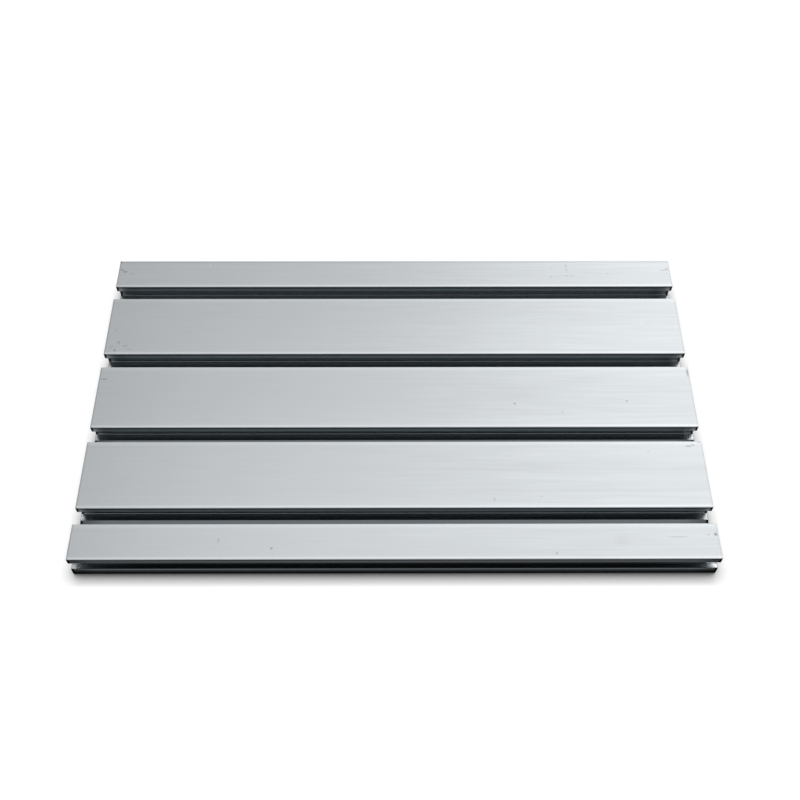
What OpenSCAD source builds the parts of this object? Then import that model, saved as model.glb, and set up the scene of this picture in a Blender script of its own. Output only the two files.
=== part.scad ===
// T-slot plate profile in aluminium: one extruded length, sawn square at both ends.
// X runs along the slots, Y across them, and Z is up. The origin is the middle of the underside.

/* [Plate] */
// Length of the cut piece, along X
length = 300; // [100:10:1000]
// Width across the slots, along Y
width = 180; // [135:5:360]
// Thickness from the underside to the top strips, along Z
thickness = 15; // [14:0.5:24]

/* [Top slots] */
// Distance between the centres of neighbouring top slots
slot_pitch = 45; // [40:1:60]
// Width of a top slot's opening between its lips
slot_w = 8.2; // [6:0.1:10]
// Thickness of the lips above a top slot's chamber
lip_t = 4; // [3:0.1:5]
// Width of the chamber under the lips
chamber_w = 15; // [13:0.5:19]
// Height of the chamber, from its floor to the lips
chamber_h = 7; // [5:0.1:8]
// Radius where a chamber's walls meet its floor
chamber_r = 0.8; // [0.6:0.1:2]

/* [Relief groove] */
// Width of the shallow groove along the middle of a chamber's floor
relief_w = 7; // [5:0.1:9]
// Width of the flat at the bottom of the groove, between its sloped sides
relief_flat_w = 3; // [1:0.1:4]
// Depth of the groove below the chamber's floor
relief_d = 0.7; // [0.3:0.1:1]

/* [Side slots] */
// Width of a side slot's opening, across the thickness
side_slot_w = 6; // [4:0.1:7.5]
// How far the middle of a side slot lies above the middle of the thickness
side_rise = 0.3; // [0:0.1:0.6]
// Thickness of the lips in front of a side slot's chamber
side_lip_t = 3; // [2:0.1:4]
// Height of a side slot's chamber, across the thickness
side_chamber_h = 9.6; // [8.5:0.1:10.5]
// Depth of a side slot's chamber, behind its lips
side_chamber_d = 5.5; // [4:0.1:7]
// Radius where a side chamber's walls meet its floor
side_chamber_r = 1; // [0.6:0.1:1.8]

/* [Hollow cells] */
// Thickness of the upright webs between a cell and the chambers beside it
web_t = 2.6; // [1.8:0.1:4]
// Thickness of the metal above and below a cell
skin_t = 2.8; // [2:0.1:4]
// Radius of a cell's corners
cell_r = 1.5; // [0.6:0.1:3]

/* [Edges] */
// Radius along the plate's long outer corners and the slots' lips
edge_r = 0.5; // [0.2:0.1:0.8]

/* [Hidden] */
$fn = 64;

// How far a cutting shape runs past the face that it opens
cut_over = 1;

slot_n = floor(width / slot_pitch);
slot_y = [for (i = [0 : slot_n - 1]) (i - (slot_n - 1) / 2) * slot_pitch];
cell_y = [for (i = [1 : 1 : slot_n - 1]) (slot_y[i - 1] + slot_y[i]) / 2];
cell_w = slot_pitch - chamber_w - 2 * web_t;
cell_h = thickness - 2 * skin_t;

// Upright rectangle on the X axis, with one radius at its two low corners and one at its two high corners
module rounded_block(w, h, low_r, high_r) {
    translate([-w / 2, low_r]) square([w, h - low_r - high_r]);
    translate([-w / 2 + low_r, 0]) square([w - 2 * low_r, h / 2]);
    translate([-w / 2 + high_r, h / 2]) square([w - 2 * high_r, h / 2]);
    for (side = [-1, 1]) {
        translate([side * (w / 2 - low_r), low_r]) circle(low_r);
        translate([side * (w / 2 - high_r), h - high_r]) circle(high_r);
    }
}

// Space that rounds over the two corners where an opening meets a face on the X axis
module rounded_mouth(opening) {
    difference() {
        translate([-opening / 2 - edge_r, -edge_r]) square([opening + 2 * edge_r, edge_r + cut_over]);
        for (side = [-1, 1]) translate([side * (opening / 2 + edge_r), -edge_r]) circle(edge_r);
    }
}

// Outline of a T-slot whose mouth is on the X axis and whose chamber lies below it
module t_slot(opening, lip, w, depth, floor_r) {
    translate([-opening / 2, -lip - depth / 2]) square([opening, lip + depth / 2 + cut_over]);
    rounded_mouth(opening);
    translate([0, -lip]) mirror([0, 1]) rounded_mouth(opening);
    translate([0, -lip - depth]) rounded_block(w, depth, floor_r, edge_r);
}

// Outline of the shallow groove, sunk below a chamber floor that lies on the X axis
module relief_groove() {
    polygon([
        [-relief_w / 2, 0],
        [-relief_flat_w / 2, -relief_d],
        [relief_flat_w / 2, -relief_d],
        [relief_w / 2, 0],
        [relief_w / 2, cut_over],
        [-relief_w / 2, cut_over],
    ]);
}

module top_slots() {
    for (y = slot_y) translate([y, thickness]) {
        t_slot(slot_w, lip_t, chamber_w, chamber_h, chamber_r);
        translate([0, -lip_t - chamber_h]) relief_groove();
    }
}

module side_slots() {
    for (side = [-1, 1]) {
        translate([side * width / 2, thickness / 2 + side_rise]) rotate(-side * 90)
            t_slot(side_slot_w, side_lip_t, side_chamber_h, side_chamber_d, side_chamber_r);
    }
}

module hollow_cells() {
    for (y = cell_y) translate([y, skin_t]) rounded_block(cell_w, cell_h, cell_r, cell_r);
}

// Cross-section of the plate, the same all along its length
module section() {
    difference() {
        rounded_block(width, thickness, edge_r, edge_r);
        top_slots();
        side_slots();
        hollow_cells();
    }
}

module t_slot_profile() {
    color("silver") rotate([90, 0, 90]) linear_extrude(height = length, center = true) section();
}

t_slot_profile();
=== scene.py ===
import math

import bmesh
import bpy
from bpy.props import FloatProperty, FloatVectorProperty, IntProperty, PointerProperty
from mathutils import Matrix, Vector, noise
from mathutils.geometry import tessellate_polygon


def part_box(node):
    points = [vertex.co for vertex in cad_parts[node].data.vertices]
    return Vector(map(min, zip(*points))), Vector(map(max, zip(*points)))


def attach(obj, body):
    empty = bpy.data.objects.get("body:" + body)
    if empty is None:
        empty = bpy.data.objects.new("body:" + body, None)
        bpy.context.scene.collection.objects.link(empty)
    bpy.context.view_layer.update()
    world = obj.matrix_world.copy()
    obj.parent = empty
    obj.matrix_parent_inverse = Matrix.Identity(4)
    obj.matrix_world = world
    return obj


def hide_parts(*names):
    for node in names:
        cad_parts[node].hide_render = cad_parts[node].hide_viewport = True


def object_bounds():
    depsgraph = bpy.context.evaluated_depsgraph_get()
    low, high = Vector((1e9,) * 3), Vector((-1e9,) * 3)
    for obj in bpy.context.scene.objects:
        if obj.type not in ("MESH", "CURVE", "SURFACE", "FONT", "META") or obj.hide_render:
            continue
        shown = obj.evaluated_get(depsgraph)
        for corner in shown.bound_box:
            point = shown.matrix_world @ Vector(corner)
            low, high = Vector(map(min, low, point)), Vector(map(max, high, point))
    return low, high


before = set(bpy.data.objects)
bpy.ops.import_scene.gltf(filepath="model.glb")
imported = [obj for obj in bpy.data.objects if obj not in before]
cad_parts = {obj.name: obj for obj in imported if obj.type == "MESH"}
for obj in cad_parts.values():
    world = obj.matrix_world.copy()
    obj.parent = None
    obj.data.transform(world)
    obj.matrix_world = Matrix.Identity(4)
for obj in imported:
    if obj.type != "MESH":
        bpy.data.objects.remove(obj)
CAD_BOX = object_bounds()

bl_info = {
    "name": "T-slot plate profile",
    "version": (1, 0, 0),
    "blender": (4, 5, 0),
    "location": "3D View > Sidebar > T-slot plate",
    "description": "Dresses a sawn length of aluminium T-slot plate and sets it on a studio floor",
    "category": "Object",
}

NODE = "t_slot_profile"
BODY = "root"
MM = 0.001

# Order of the plate's materials, and place of the shaded paint among the floor's two
WALLS, STRIPS, SAWN = 0, 1, 2
SHADED_FLOOR = 1

# Sizes of the section, in millimetres
SLOT_PITCH = 45.0
SLOT_WIDTH = 8.2
LIP_THICKNESS = 4.0
SIDE_SLOT_WIDTH = 6.0
SIDE_SLOT_RISE = 0.3
SIDE_SLOT_DEPTH = 8.5
EDGE_RADIUS = 0.5

# Places on the plate, in millimetres from the middle of its underside or of a slot
HALF_LENGTH, HALF_WIDTH, TOP = [round(reach / MM, 3) for reach in CAD_BOX[1]]
LIP_UNDERSIDE = TOP - LIP_THICKNESS
MOUTH_EDGE = SLOT_WIDTH / 2 + 1.2 * EDGE_RADIUS
OUTER_EDGE = HALF_WIDTH - EDGE_RADIUS
SIDE_SLOT_FLOOR = HALF_WIDTH - SIDE_SLOT_DEPTH
SIDE_SLOT_TOP = TOP / 2 + SIDE_SLOT_RISE + SIDE_SLOT_WIDTH / 2

# How far below the top the strips' finish reaches, in millimetres
STRIP_REACH = 0.15
# Largest turn between two faces that are still shaded as one curve
SMOOTH_TURN = math.radians(12)
# Points that lie nearer than this are one point
SAME_PLACE = 0.001 * MM
# Middle of the saw blade whose arcs show on the ends, in millimetres
BLADE_MIDDLE = (0.0, 40.0, -190.0)
# Share of a mark's half size that has the mark's full depth
MARK_CORE = 0.35
# Most light that any part of the sky gives
BRIGHTEST_SKY = 1.75

# Small marks on the strips: along, across, half length, half width, and depth (below 0 is light)
MARKS = (
    (-149.3, 89.2, 1.0, 0.6, 0.50),
    (-148.2, 83.6, 1.3, 0.6, 0.44),
    (-146.4, 82.2, 1.7, 0.7, 0.44),
    (-142.6, 80.8, 2.2, 0.7, 0.10),
    (-100.5, 86.9, 0.9, 0.7, -0.16),
    (85.6, 84.4, 0.7, 0.8, 0.16),
    (84.9, 78.6, 0.7, 0.8, 0.18),
    (93.5, 86.6, 0.6, 1.4, 0.22),
    (93.6, 83.4, 0.6, 2.0, 0.20),
    (93.4, 79.4, 0.7, 0.7, 0.28),
    (96.3, 79.4, 1.6, 0.7, 0.16),
    (115.9, 80.6, 0.7, 0.5, 0.28),
    (146.2, 83.0, 2.6, 0.6, 0.22),
    (148.4, 83.9, 1.4, 0.8, 0.32),
    (-145.6, 42.0, 1.4, 0.5, 0.14),
    (-143.2, 34.2, 1.2, 1.5, 0.20),
    (-144.6, 29.0, 0.9, 0.9, 0.42),
    (-139.6, 32.0, 1.9, 1.0, 0.16),
    (-137.2, 29.8, 2.6, 0.8, 0.10),
    (-146.6, 31.4, 1.8, 2.4, 0.06),
    (130.2, 46.6, 0.6, 1.9, -0.10),
    (133.0, 46.2, 1.2, 0.7, 0.06),
    (-147.2, 10.8, 2.4, 0.6, 0.32),
    (60.0, -4.4, 1.0, 0.7, 0.42),
    (116.3, -3.0, 0.8, 0.8, 0.34),
    (83.5, -9.6, 0.5, 1.6, 0.16),
    (149.3, 14.5, 0.8, 3.6, 0.36),
    (143.2, -29.6, 2.2, 0.7, 0.30),
    (145.4, -28.9, 1.4, 0.6, 0.30),
    (148.6, -27.4, 1.3, 0.6, 0.30),
    (123.5, -32.5, 1.6, 0.5, 0.16),
    (47.1, -58.9, 0.6, 1.3, 0.22),
    (69.4, -57.3, 0.8, 0.7, 0.16),
    (55.5, -35.0, 2.2, 0.5, 0.10),
    (-81.2, -80.2, 0.7, 1.7, 0.20),
    (-56.5, -84.4, 0.8, 0.8, 0.42),
    (74.3, -87.1, 0.8, 1.1, 0.24),
    (105.0, -80.4, 5.0, 3.6, 0.04),
    (131.0, -78.8, 6.5, 0.5, 0.18),
    (130.0, -77.2, 8.0, 0.5, -0.05),
    (145.2, -77.6, 0.9, 0.8, 0.18),
    (148.6, -77.5, 1.1, 1.1, 0.50),
)


class PlateSettings(bpy.types.PropertyGroup):
    """Shape of the sawn ends and fineness of the mesh."""

    end_chamfer: FloatProperty(
        name="End chamfer",
        description="Width of the file-broken edge round each sawn end",
        default=0.18 * MM,
        unit="LENGTH",
    )
    chamfer_waver: FloatProperty(
        name="Chamfer waver",
        description="Share by which the hand-filed chamfer grows and shrinks along the edge",
        default=0.45,
        subtype="FACTOR",
    )
    face_step: FloatProperty(
        name="Face step",
        description="Longest stretch of flat face between two points of the section",
        default=2.0 * MM,
        unit="LENGTH",
    )
    stations: IntProperty(
        name="Stations",
        description="Number of equal bays along the length",
        default=24,
    )


class FinishSettings(bpy.types.PropertyGroup):
    """Colours, gloss and wear of the metal, with its painted light and shade."""

    # Also painted light on the slot floors near the sawn ends, which stands for light that comes in at the
    # open ends
    brushed_colour: FloatVectorProperty(
        name="Brushed colour",
        description="Reflection colour of the strips, the underside and the slot floors' rubbed ends",
        default=(0.527, 0.551, 0.568),
        subtype="COLOR",
    )
    brushed_roughness: FloatProperty(
        name="Brushed roughness",
        description="Softness of the reflections in the brushed faces",
        default=0.34,
        subtype="FACTOR",
    )
    # Painted shade: a darker, bluer copy of the brushed colour, which stands for the shade on the slots'
    # lips
    lip_painted_shade: FloatVectorProperty(
        name="Lip colour",
        description="Reflection colour of the slots' lips",
        default=(0.465, 0.512, 0.538),
        subtype="COLOR",
    )
    # Painted shade: the slots' chambers take this darker colour, which stands for the shade inside the
    # slots
    chamber_painted_shade: FloatVectorProperty(
        name="Drawn colour",
        description="Reflection colour of the slots' chambers, left as they came from the die",
        default=(0.248, 0.277, 0.296),
        subtype="COLOR",
    )
    drawn_roughness: FloatProperty(
        name="Drawn roughness",
        description="Softness of the reflections in the slots' chambers",
        default=0.27,
        subtype="FACTOR",
    )
    # Painted shade: the long outer sides and much of their slots take this dark colour, which stands for
    # the shade they lie in
    side_painted_shade: FloatVectorProperty(
        name="Side colour",
        description="Reflection colour of the two long outer sides, and mostly of their slots",
        default=(0.108, 0.118, 0.125),
        subtype="COLOR",
    )
    side_roughness: FloatProperty(
        name="Side roughness",
        description="Softness of the reflections in the two long outer sides and their slots",
        default=0.26,
        subtype="FACTOR",
    )
    sawn_colour: FloatVectorProperty(
        name="Sawn colour",
        description="Reflection colour of the bare metal at the sawn ends",
        default=(0.70, 0.70, 0.695),
        subtype="COLOR",
    )
    sawn_roughness: FloatProperty(
        name="Sawn roughness",
        description="Softness of the reflections in the sawn ends",
        default=0.38,
        subtype="FACTOR",
    )
    # Painted highlight: how much the strips' edges are lightened
    edge_painted_highlight: FloatProperty(
        name="Edge shine",
        description="How much brighter the strips are along their rubbed front edges",
        default=0.2,
        subtype="FACTOR",
    )
    streak_depth: FloatProperty(
        name="Streak depth",
        description="How much brush lines and die lines lighten and darken the metal",
        default=0.13,
        subtype="FACTOR",
    )


class StageSettings(bpy.types.PropertyGroup):
    """Floor, light and camera."""

    floor_colour: FloatVectorProperty(
        name="Floor colour",
        description="Colour of the studio floor",
        default=(0.10, 0.10, 0.10),
        subtype="COLOR",
    )
    floor_glow: FloatProperty(
        name="Floor glow",
        description="How bright the floor shows by itself, where 1 is white",
        default=0.95,
        subtype="FACTOR",
    )
    shade_reach: FloatProperty(
        name="Shade reach",
        description="How far from the plate its shade on the floor reaches",
        default=0.007,
        unit="LENGTH",
    )
    floor_radius: FloatProperty(
        name="Floor radius",
        description="How far the floor runs from the plate",
        default=12.0,
        unit="LENGTH",
    )
    camera_place: FloatVectorProperty(
        name="Camera place",
        description="Where the camera stands, measured from the middle of the underside",
        default=(0.0004, -0.3108, 0.4698),
        subtype="TRANSLATION",
        unit="LENGTH",
    )
    camera_turn: FloatVectorProperty(
        name="Camera turn",
        description="Camera's turns about X, Y and Z",
        default=(math.radians(34.16), math.radians(-0.16), math.radians(-0.19)),
        subtype="EULER",
        unit="ROTATION",
    )
    lens_mm: FloatProperty(
        name="Lens",
        description="Focal length in millimetres on a 36 mm wide sensor",
        default=49.37,
    )


class Wire:
    """A shader socket that takes part in Python arithmetic."""

    def __init__(self, sheet, socket):
        self.sheet = sheet
        self.socket = socket

    def out(self, name):
        """Another output of the same node."""
        return Wire(self.sheet, self.socket.node.outputs[name])

    def __add__(self, other):
        return self.sheet.maths("ADD", self, other)

    def __radd__(self, other):
        return self.sheet.maths("ADD", other, self)

    def __sub__(self, other):
        return self.sheet.maths("SUBTRACT", self, other)

    def __rsub__(self, other):
        return self.sheet.maths("SUBTRACT", other, self)

    def __mul__(self, other):
        return self.sheet.maths("MULTIPLY", self, other)

    def __rmul__(self, other):
        return self.sheet.maths("MULTIPLY", other, self)

    def __neg__(self):
        return self.sheet.maths("SUBTRACT", 0, self)

    def __abs__(self):
        return self.sheet.maths("ABSOLUTE", self, 0)


class ShaderSheet:
    """A node tree that is being written, from nodes and from arithmetic on wires."""

    def __init__(self, tree):
        self.tree = tree
        tree.nodes.clear()

    def node(self, kind, settings=None, sockets=None, output=0):
        """Adds a node, with its settings first and then the values or links of its sockets."""
        node = self.tree.nodes.new(kind)
        for name, value in (settings or {}).items():
            setattr(node, name, value)
        for name, value in (sockets or {}).items():
            if isinstance(value, Wire):
                self.tree.links.new(value.socket, node.inputs[name])
            else:
                node.inputs[name].default_value = value
        return Wire(self, node.outputs[output]) if node.outputs else None

    def maths(self, operation, a, b):
        return self.node("ShaderNodeMath", {"operation": operation}, {0: a, 1: b})

    def step(self, value, low, high):
        """0 below low, 1 above high and a smooth rise between."""
        return self.node(
            "ShaderNodeMapRange",
            {"interpolation_type": "SMOOTHSTEP"},
            {"Value": value, "From Min": low, "From Max": high},
        )

    def mix(self, factor, a, b):
        """Colour a at factor 0 and colour b at factor 1."""
        return self.node("ShaderNodeMix", {"data_type": "RGBA"}, {0: factor, 6: a, 7: b}, output=2)

    def band(self, value, middle, half):
        """1 where value is near middle, falling to 0 at a distance of half."""
        full = 0.3 * half
        return 1 - self.step(abs(value - middle), full, half)

    def scaled(self, colour, factor):
        return self.node("ShaderNodeVectorMath", {"operation": "SCALE"}, {0: colour, 3: factor})

    def stretched(self, place, factors):
        return self.node("ShaderNodeVectorMath", {"operation": "MULTIPLY"}, {0: place, 1: factors})

    def away(self, place, point):
        """The way from a fixed point to a place."""
        return self.node("ShaderNodeVectorMath", {"operation": "SUBTRACT"}, {0: place, 1: point})

    def length(self, vector):
        return self.node("ShaderNodeVectorMath", {"operation": "LENGTH"}, {0: vector}, output="Value")

    def noise(self, place, detail=2.0, roughness=0.5):
        return self.node("ShaderNodeTexNoise", None, {
            "Vector": place, "Scale": 1.0, "Detail": detail, "Roughness": roughness,
        })

    def ripples(self, in_mm, per_mm, detail=2.0):
        """Noise with so many ripples in a millimetre along, across and up."""
        return self.noise(self.stretched(in_mm, per_mm), detail)


def rgba(colour):
    return (colour[0], colour[1], colour[2], 1.0)


def new_material(name):
    material = bpy.data.materials.new(name)
    material.use_nodes = True
    return material, ShaderSheet(material.node_tree)


def plate_place(sheet):
    """The plate's own coordinates in millimetres, whole and as along, across and up."""
    place = sheet.node("ShaderNodeTexCoord").out("Object")
    in_mm = sheet.stretched(place, (1 / MM, 1 / MM, 1 / MM))
    parts = sheet.node("ShaderNodeSeparateXYZ", None, {0: in_mm})
    return in_mm, parts.out("X"), parts.out("Y"), parts.out("Z")


def marks_on_top(sheet, in_mm):
    """Sum of the small marks on the strips, above 0 where dark and below 0 where light."""
    total = 0
    for x, y, half_x, half_y, depth in MARKS:
        away = sheet.away(in_mm, (x, y, TOP))
        distance = sheet.length(sheet.stretched(away, (1 / half_x, 1 / half_y, 0.0)))
        total = (1 - sheet.step(distance, MARK_CORE, 1.0)) * depth + total
    return total


def near_end(sheet, along, start, full):
    """0 until start millimetres before the sawn end that along runs to, and 1 from full millimetres on."""
    return sheet.step(along, HALF_LENGTH - start, HALF_LENGTH - full)


def finish_metal(sheet, colour, roughness, height, strength, distance, grazing=1.0):
    """Ends a sheet as bumped metal, where grazing is how white it turns when seen edge on."""
    bump = sheet.node("ShaderNodeBump", None, {
        "Strength": strength, "Distance": distance, "Height": height,
    })
    shader = sheet.node("ShaderNodeBsdfPrincipled", None, {
        "Base Color": colour, "Metallic": 1.0, "Roughness": roughness, "Normal": bump,
        "Specular Tint": (grazing, grazing, grazing, 1.0),
    })
    sheet.node("ShaderNodeOutputMaterial", None, {"Surface": shader})


def brushed_strips(finish):
    """Clear anodised top strips: brushed along the length, with a painted highlight along the edges, and
    small marks.
    """
    material, sheet = new_material("brushed_strips")
    in_mm, along, across, _ = plate_place(sheet)

    # Distance across from the middle of the nearest slot
    from_slot = sheet.node("ShaderNodeMath", {"operation": "WRAP"}, {
        0: across - SLOT_PITCH / 2, 1: SLOT_PITCH / 2, 2: -SLOT_PITCH / 2,
    })

    # Painted highlight along the edges: bright at each strip's front, fainter at its back, and darker at
    # the plate's back corner
    front_edges = sheet.band(from_slot, MOUTH_EDGE, 1.2) + sheet.band(across, -OUTER_EDGE, 1.2)
    back_edges = 0.5 * sheet.band(from_slot, -MOUTH_EDGE, 2.2)
    back_corner = 0.6 * sheet.band(across, OUTER_EDGE, 1.6)
    painted_highlight = finish.edge_painted_highlight * (front_edges + back_edges - back_corner)

    # Brush lines, which show most on the right half
    streaks = sheet.ripples(in_mm, (0.025, 0.6, 0.6), detail=3.0)
    bands = sheet.ripples(in_mm, (0.003, 0.10, 0.10), detail=1.0)
    fine_lines = sheet.ripples(in_mm, (0.03, 3.0, 3.0))
    right_half = 0.35 + 0.65 * sheet.step(along, -40.0, 90.0)
    lines = finish.streak_depth * right_half * (2.0 * (streaks - 0.5) + (bands - 0.5))

    # Dark rims at the sawn ends
    right_rim = 0.08 * near_end(sheet, along, 0.9, 0.4)
    left_rim = 0.26 * near_end(sheet, -along, 1.0, 0.4)
    tone = (1 + painted_highlight + lines - marks_on_top(sheet, in_mm)) * (1 - right_rim - left_rim)
    colour = sheet.scaled(finish.brushed_colour, tone)
    roughness = finish.brushed_roughness + 0.08 * (streaks - 0.5) + 0.05 * (fine_lines - 0.5)
    finish_metal(sheet, colour, roughness, fine_lines + streaks, strength=0.06, distance=0.02 * MM)
    return material


def lip_painted_reflection(sheet, up, side_face):
    """Painted reflection: a dark and then a light line below a lip's rounded edge."""
    dark_line = (0.6 - 0.1 * side_face) * sheet.band(up, TOP - 0.9, 1.1)
    light_line = (0.15 + 0.2 * side_face) * sheet.band(up, TOP - 2.8, 1.1)
    return light_line - dark_line


def burr_flecks(sheet, in_mm, from_middle, level):
    """Bright flecks of burr on level faces near the sawn ends."""
    flecks = sheet.step(sheet.ripples(in_mm, (0.7, 0.7, 0.7)), 0.56, 0.66)
    return 1.2 * level * flecks * near_end(sheet, from_middle, 7.0, 3.0)


def tone_left_by_painted_shade(sheet, up, from_middle, upright, side_face):
    """Share of the tone that painted shade leaves: near the sawn ends, low on the long sides and at their
    slots.
    """
    # Painted shade: upright faces darken towards the sawn ends, most in the last two millimetres
    end_painted_shade = 0.4 * upright * near_end(sheet, from_middle, 13.0, 2.0)
    end_rim_painted_shade = 0.9 * upright * near_end(sheet, from_middle, 1.7, 0.9)
    # Painted shade: the long sides darken towards the bottom edge
    low_painted_shade = 0.9 * side_face * (1 - sheet.step(up, 0.0, 4.0))
    # Painted shade: the long sides darken round the top edge of their slots
    slot_painted_shade = 0.5 * side_face * sheet.band(up, SIDE_SLOT_TOP, 2.6)
    return (1 - end_painted_shade) * (1 - end_rim_painted_shade) * (1 - low_painted_shade) * (1 - slot_painted_shade)


def drawn_walls(finish):
    """Clear anodised lips, chambers, long sides and underside, with die lines, burr, and painted light and
    shade.
    """
    material, sheet = new_material("drawn_walls")
    in_mm, along, across, up = plate_place(sheet)
    from_middle = abs(along)
    outward = abs(across)

    # Level faces, such as the slots' floors, and upright ones
    way = sheet.node("ShaderNodeTexCoord").out("Normal")
    rise = sheet.node("ShaderNodeSeparateXYZ", None, {0: way}).out("Z")
    level = sheet.step(abs(rise), 0.95, 0.99)
    upright = 1 - level

    # Kinds of wall: underside, chambers, level faces with painted light near the ends, long sides, part of
    # their slots
    under = (1 - sheet.step(up, 0.1, 0.55)) * sheet.step(-rise, 0.6, 0.95)
    chamber = 1 - sheet.step(up, LIP_UNDERSIDE - 0.3, LIP_UNDERSIDE + 0.2)
    # Painted light: level faces near the sawn ends keep the bright brushed colour, further in at the right
    # end
    painted_light = level * (near_end(sheet, along, 6.0, 3.0) + near_end(sheet, -along, 3.5, 1.0))
    side_face = sheet.step(outward, OUTER_EDGE - 0.2, OUTER_EDGE + 0.2)
    side_slot = sheet.step(outward, SIDE_SLOT_FLOOR - 2.0, SIDE_SLOT_FLOOR - 1.0)
    slot_share = 0.6 - 0.45 * near_end(sheet, from_middle, 32.0, 4.0)
    outer = sheet.maths("MAXIMUM", side_face, side_slot * slot_share * (1 - painted_light))

    die_lines = sheet.ripples(in_mm, (0.02, 1.2, 1.2), detail=3.0)
    # Die lines, with the painted reflection lines below the lips
    lines = finish.streak_depth * (die_lines - 0.5) + lip_painted_reflection(sheet, up, side_face)
    burr = burr_flecks(sheet, in_mm, from_middle, level)
    tone = (1 + lines + burr) * tone_left_by_painted_shade(sheet, up, from_middle, upright, side_face)

    # Each colour is laid over those before it
    # Painted shade on the lips, and painted light on level faces near the ends
    colour = sheet.mix(painted_light, rgba(finish.lip_painted_shade), rgba(finish.brushed_colour))
    # Painted shade: the chambers take the darker chamber colour, except on level faces near the ends
    colour = sheet.mix(chamber * (1 - painted_light), colour, rgba(finish.chamber_painted_shade))
    # Painted shade: the long sides and much of their slots, less near the sawn ends, take the dark side
    # colour
    colour = sheet.mix(outer, colour, rgba(finish.side_painted_shade))
    colour = sheet.mix(under, colour, rgba(finish.brushed_colour))
    colour = sheet.scaled(colour, tone)

    inside = finish.brushed_roughness + (finish.drawn_roughness - finish.brushed_roughness) * chamber
    walls = inside + (finish.side_roughness - inside) * outer
    roughness = walls + (finish.brushed_roughness - walls) * under + 0.08 * (die_lines - 0.5)
    finish_metal(sheet, colour, roughness, die_lines, strength=0.08, distance=0.02 * MM, grazing=0.4)
    return material


def sawn_aluminium(finish):
    """Bare bright metal with the wide arcs that a saw blade leaves."""
    material, sheet = new_material("sawn_aluminium")
    in_mm, along, _, up = plate_place(sheet)
    from_blade = sheet.stretched(sheet.away(in_mm, BLADE_MIDDLE), (0.0, 1.0, 1.0))
    arcs_out = 1.4 * sheet.length(from_blade)
    rings = sheet.node("ShaderNodeCombineXYZ", None, {"X": arcs_out, "Y": along, "Z": 0.02 * up})
    arcs = sheet.noise(rings, detail=3.0, roughness=0.6)
    colour = sheet.scaled(finish.sawn_colour, 0.82 + 0.36 * arcs)
    roughness = finish.sawn_roughness + 0.2 * (arcs - 0.5)
    finish_metal(sheet, colour, roughness, arcs, strength=0.25, distance=0.04 * MM)
    return material


def floor_paint(stage, name, shaded):
    """Matt floor that shows pale to the eye and to mirrors, and may darken where the plate shades it."""
    material, sheet = new_material(name)
    ray = sheet.node("ShaderNodeLightPath")
    seen = ray.out("Is Camera Ray") + ray.out("Is Glossy Ray") + ray.out("Is Transmission Ray")
    if shaded:
        # The brightest light is behind the plate, so the sky is measured about a line that leans back
        lean = sheet.node("ShaderNodeCombineXYZ", None, {"X": 0.0, "Y": 0.5, "Z": 0.866})
        open_sky = sheet.node("ShaderNodeAmbientOcclusion", {"samples": 16}, {
            "Distance": stage.shade_reach, "Normal": lean,
        }).out("AO")
        # The floor is darkest where it sees this share of the sky or less
        darkest = 0.3
        seen = seen * sheet.node("ShaderNodeMapRange", None, {"Value": open_sky, "From Min": darkest})
    black = rgba((0.0, 0.0, 0.0))
    lit = rgba([stage.floor_glow] * 3)
    glow_colour = sheet.mix(seen, black, lit)
    matt = sheet.node("ShaderNodeBsdfDiffuse", None, {"Color": rgba(stage.floor_colour)})
    glow = sheet.node("ShaderNodeEmission", None, {"Color": glow_colour})
    both = sheet.node("ShaderNodeAddShader", None, {0: matt, 1: glow})
    sheet.node("ShaderNodeOutputMaterial", None, {"Surface": both})
    return material


def section_loops(solid):
    """The section's outline and holes, as lists of (y, z) with the metal on the left of each."""
    mesh = bmesh.new()
    mesh.from_mesh(solid.data)
    bmesh.ops.remove_doubles(mesh, verts=mesh.verts, dist=SAME_PLACE)
    end_x = min(v.co.x for v in mesh.verts)
    cap = {f for f in mesh.faces if all(abs(v.co.x - end_x) < SAME_PLACE for v in f.verts)}
    rim = [e for e in mesh.edges if sum(f in cap for f in e.link_faces) == 1]
    beside = {}
    for edge in rim:
        a, b = edge.verts
        beside.setdefault(a, []).append(b)
        beside.setdefault(b, []).append(a)
    loops = []
    left = set(beside)
    while left:
        first = min(left, key=lambda v: v.index)
        walk = [first]
        left.discard(first)
        while True:
            onward = [v for v in beside[walk[-1]] if v in left]
            if not onward:
                break
            walk.append(onward[0])
            left.discard(onward[0])
        loops.append([Vector((v.co.y, v.co.z)) for v in walk])
    mesh.free()
    loops.sort(key=lambda loop: -abs(signed_area(loop)))
    outline, holes = loops[0], loops[1:]
    return [turned(outline, 1)] + [turned(hole, -1) for hole in holes]


def signed_area(loop):
    return 0.5 * sum(a.x * b.y - b.x * a.y for a, b in zip(loop, loop[1:] + loop[:1]))


def turned(loop, sense):
    """The loop, reversed if need be so that its area has the sign of sense."""
    return loop if signed_area(loop) * sense > 0 else loop[::-1]


def with_steps(loop, longest):
    """The loop with points added so that no straight stretch is longer than longest."""
    points = []
    for a, b in zip(loop, loop[1:] + loop[:1]):
        count = max(1, math.ceil((b - a).length / longest))
        points += [a.lerp(b, i / count) for i in range(count)]
    return points


def inset(loop, widths):
    """Each point of the loop moved into the metal by its own width."""
    moved = []
    for i, point in enumerate(loop):
        before = (point - loop[i - 1]).normalized()
        after = (loop[(i + 1) % len(loop)] - point).normalized()
        inward = Vector((-before.y - after.y, before.x + after.x)).normalized()
        # At a corner the point moves further, though never more than twice its width
        lean = max(0.5, inward.dot(Vector((-before.y, before.x))))
        moved.append(point + inward * widths[i] / lean)
    return moved


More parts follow.
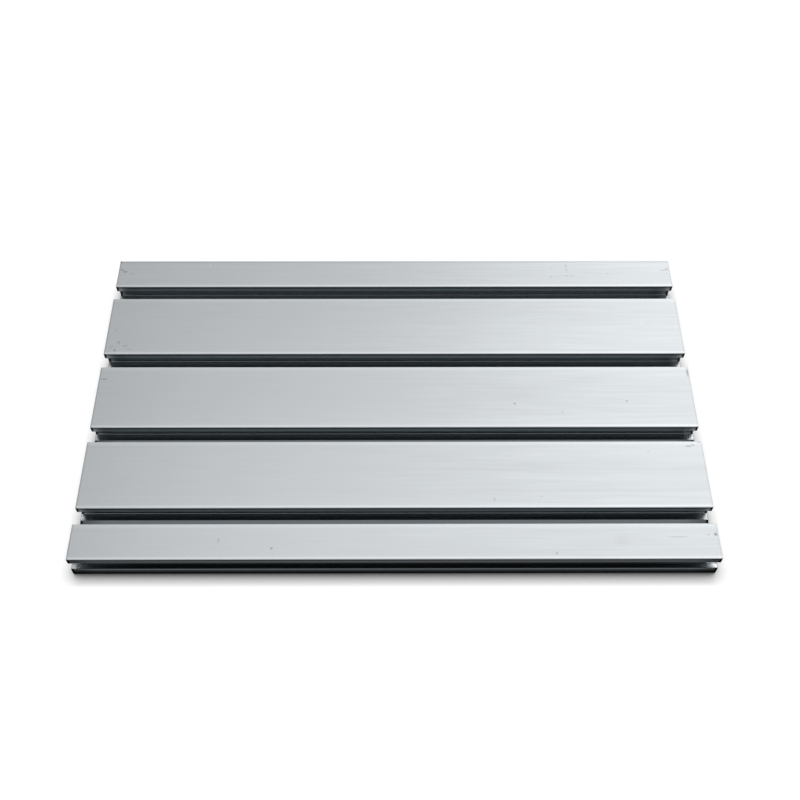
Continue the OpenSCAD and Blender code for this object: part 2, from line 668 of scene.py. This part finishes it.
def chamfer_widths(settings, loop, end):
    """Width of the hand-filed chamfer at each point of a loop, which wavers differently at each end."""
    layer = end * 7.0
    wavers = [settings.chamfer_waver * noise.noise((p.x / MM, p.y / MM, layer)) for p in loop]
    return [settings.end_chamfer * (1 + waver) for waver in wavers]


def section_ring(mesh, x, loops):
    """Points of the section's loops at a place along the plate."""
    return [[mesh.verts.new((x, p.x, p.y)) for p in loop] for loop in loops]


def plate_rings(mesh, settings, loops):
    """Rings of points from one sawn end to the other, the first and last drawn in by the chamfer."""
    low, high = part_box(NODE)
    tips = []
    for end, x in ((-1, low[0]), (1, high[0])):
        filed = [inset(loop, chamfer_widths(settings, loop, end)) for loop in loops]
        tips.append(section_ring(mesh, x, filed))
    first = low[0] + settings.end_chamfer
    span = high[0] - low[0] - 2 * settings.end_chamfer
    places = [first + span * i / settings.stations for i in range(settings.stations + 1)]
    return [tips[0]] + [section_ring(mesh, x, loops) for x in places] + [tips[1]]


def join_rings(mesh, rings):
    """Walls from each ring to the next, along the outline and the holes."""
    for back, front in zip(rings, rings[1:]):
        for a, b in zip(back, front):
            for i in range(len(a)):
                j = (i + 1) % len(a)
                mesh.faces.new((a[i], a[j], b[j], b[i]))


def close_end(mesh, ring):
    """Sawn face across an end ring, open at the section's holes."""
    points = [v for loop in ring for v in loop]
    outlines = [[Vector((v.co.y, v.co.z, 0.0)) for v in loop] for loop in ring]
    for triangle in tessellate_polygon(outlines):
        face = mesh.faces.new([points[i] for i in triangle])
        face.material_index = SAWN


def plate_mesh(settings):
    """The whole plate: the solid's own section along its length, with filed edges at the sawn ends."""
    loops = [with_steps(loop, settings.face_step) for loop in section_loops(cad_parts[NODE])]
    mesh = bmesh.new()
    rings = plate_rings(mesh, settings, loops)
    join_rings(mesh, rings)
    close_end(mesh, rings[0])
    close_end(mesh, rings[-1])
    bmesh.ops.recalc_face_normals(mesh, faces=mesh.faces)
    for face in mesh.faces:
        face.smooth = True
        on_top = face.calc_center_median().z > (TOP - STRIP_REACH) * MM
        if on_top and face.material_index == WALLS:
            face.material_index = STRIPS
    data = bpy.data.meshes.new("t_slot_plate")
    mesh.to_mesh(data)
    mesh.free()
    data.set_sharp_from_angle(angle=SMOOTH_TURN)
    return data


class TSLOT_OT_plate(bpy.types.Operator):
    """Build the sawn plate over its CAD solid"""

    bl_idname = "tslot.plate"
    bl_label = "Build plate"

    def execute(self, context):
        scene = context.scene
        plate = bpy.data.objects.new("t_slot_plate", plate_mesh(scene.tslot_plate))
        scene.collection.objects.link(plate)
        for metal in (drawn_walls, brushed_strips, sawn_aluminium):
            plate.data.materials.append(metal(scene.tslot_finish))
        # Large flats are shaded flat, and the narrow curves between them round
        weigh = plate.modifiers.new("even_flats", "WEIGHTED_NORMAL")
        weigh.keep_sharp = True
        weigh.weight = 100
        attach(plate, BODY)
        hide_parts(NODE)
        return {"FINISHED"}


class TSLOT_OT_stage(bpy.types.Operator):
    """Set the floor, the light and the camera"""

    bl_idname = "tslot.stage"
    bl_label = "Set stage"

    def execute(self, context):
        scene = context.scene
        stage = scene.tslot_stage
        floor = bpy.data.objects.new("studio_floor", self.floor_mesh(stage))
        scene.collection.objects.link(floor)
        floor.data.materials.append(floor_paint(stage, "open_floor", False))
        floor.data.materials.append(floor_paint(stage, "shaded_floor", True))
        self.light(scene)
        self.camera(scene, stage)
        scene.view_settings.view_transform = "Standard"
        return {"FINISHED"}

    def floor_mesh(self, stage):
        """Three by three tiles, of which the middle one lies under and round the plate."""
        low, high = CAD_BOX
        far = stage.floor_radius
        reach = stage.shade_reach
        xs = (-far, low[0] - reach, high[0] + reach, far)
        ys = (-far, low[1] - reach, high[1] + reach, far)
        points = [(x, y, 0.0) for y in ys for x in xs]
        first_corners = [len(xs) * row + column for row in range(3) for column in range(3)]
        tiles = [(i, i + 1, i + len(xs) + 1, i + len(xs)) for i in first_corners]
        data = bpy.data.meshes.new("studio_floor")
        data.from_pydata(points, [], tiles)
        middle_tile = data.polygons[len(tiles) // 2]
        middle_tile.material_index = SHADED_FLOOR
        return data

    def light(self, scene):
        """White sky all round, with a bright window behind the plate at the right."""
        world = bpy.data.worlds.new("studio_light")
        scene.world = world
        world.use_nodes = True
        sheet = ShaderSheet(world.node_tree)
        way = sheet.node("ShaderNodeTexCoord").out("Generated")
        parts = sheet.node("ShaderNodeSeparateXYZ", None, {0: way})
        rightward, backward, upward = parts.out("X"), parts.out("Y"), parts.out("Z")

        # The sky behind the plate: dim at the left, brighter overhead, and brightest in the window
        not_left = sheet.step(rightward, -0.416, -0.20)
        overhead = sheet.step(upward, 0.72, 1.0)
        window_height = sheet.step(upward, 0.20, 0.55) * (1 - sheet.step(upward, 0.776, 0.882))
        window_width = sheet.step(rightward, 0.061, 0.20) * (1 - sheet.step(rightward, 0.45, 0.75))
        window = window_width * window_height
        back_sky = 0.045 + 0.62 * not_left + 1.03 * overhead + 2.4 * window

        # The sky in front, which is dimmer high up, and the low sky that is white all round
        front_sky = 0.9 - 0.4 * sheet.step(upward, 0.66, 0.80)
        behind = sheet.step(backward, -0.25, 0.40)
        high_sky = front_sky + behind * (back_sky - front_sky)
        low_sky = 1 - sheet.step(upward, 0.50, 0.76)
        strength = sheet.maths("MAXIMUM", high_sky, low_sky)
        strength = sheet.maths("MINIMUM", strength, BRIGHTEST_SKY)
        sky = sheet.node("ShaderNodeBackground", None, {"Color": (1, 1, 1, 1), "Strength": strength})
        sheet.node("ShaderNodeOutputWorld", None, {"Surface": sky})

    def camera(self, scene, stage):
        data = bpy.data.cameras.new("photo_camera")
        data.sensor_width = 36.0
        data.lens = stage.lens_mm
        camera = bpy.data.objects.new("photo_camera", data)
        camera.location = stage.camera_place
        camera.rotation_euler = stage.camera_turn
        scene.collection.objects.link(camera)
        scene.camera = camera


class TSLOT_PT_panel(bpy.types.Panel):
    """Sidebar panel with the plate's settings and its two steps"""

    bl_idname = "TSLOT_PT_panel"
    bl_label = "T-slot plate"
    bl_space_type = "VIEW_3D"
    bl_region_type = "UI"
    bl_category = "T-slot plate"

    def draw(self, context):
        for group in (context.scene.tslot_plate, context.scene.tslot_finish, context.scene.tslot_stage):
            box = self.layout.box()
            for name in group.__annotations__:
                box.prop(group, name)
        self.layout.operator(TSLOT_OT_plate.bl_idname)
        self.layout.operator(TSLOT_OT_stage.bl_idname)


CLASSES = (PlateSettings, FinishSettings, StageSettings, TSLOT_OT_plate, TSLOT_OT_stage, TSLOT_PT_panel)


def register():
    for cls in CLASSES:
        bpy.utils.register_class(cls)
    bpy.types.Scene.tslot_plate = PointerProperty(type=PlateSettings)
    bpy.types.Scene.tslot_finish = PointerProperty(type=FinishSettings)
    bpy.types.Scene.tslot_stage = PointerProperty(type=StageSettings)


def unregister():
    del bpy.types.Scene.tslot_stage
    del bpy.types.Scene.tslot_finish
    del bpy.types.Scene.tslot_plate
    for cls in reversed(CLASSES):
        bpy.utils.unregister_class(cls)


def main():
    register()
    bpy.ops.tslot.stage()
    bpy.ops.tslot.plate()


if __name__ == "__main__":
    main()
